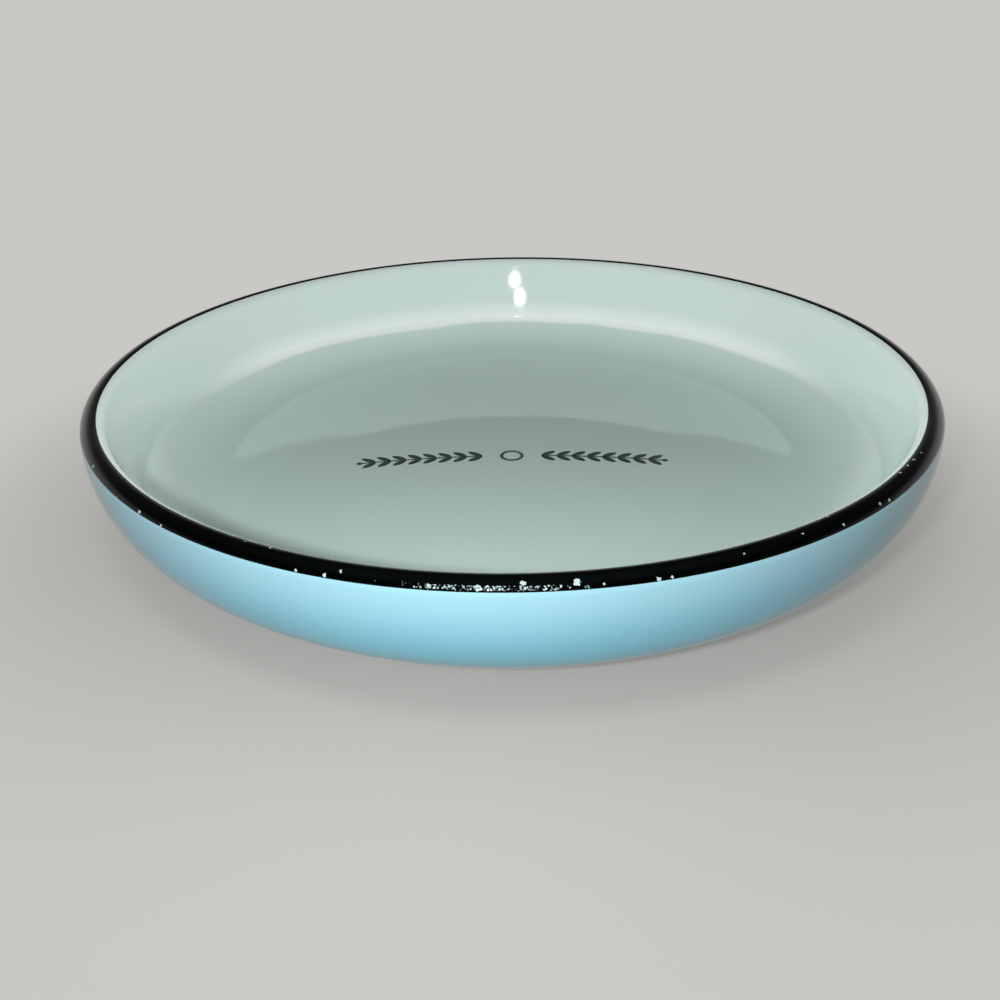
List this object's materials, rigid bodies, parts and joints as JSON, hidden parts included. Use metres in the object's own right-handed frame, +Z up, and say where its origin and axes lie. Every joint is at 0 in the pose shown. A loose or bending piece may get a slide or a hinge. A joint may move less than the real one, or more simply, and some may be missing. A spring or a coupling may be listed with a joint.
{
  "type": "ring dish",
  "caption": "Small round shallow dish of glazed porcelain with a metal band on its rim and a foot ring, for rings and small things.",
  "frame": {"origin": "centre of the standing edge of the foot ring, on the surface that the dish stands on", "axes": "+Z up along the dish's axis; the dish is round, so +X and +Y are free, and -Y faces the picture's camera"},
  "size_m": [0.108, 0.108, 0.019],
  "materials": {
    "porcelain": "fired, unglazed, satin",
    "white_glaze": "high gloss",
    "blue_glaze": "high gloss",
    "rim_metal": "fired lustre, mirror"
  },
  "bodies": {
    "root": {"porcelain_body": "porcelain", "well_glaze": "white_glaze", "base_glaze": "white_glaze", "blue_glaze": "blue_glaze", "rim_band": "rim_metal"}
  },
  "joints": []
}
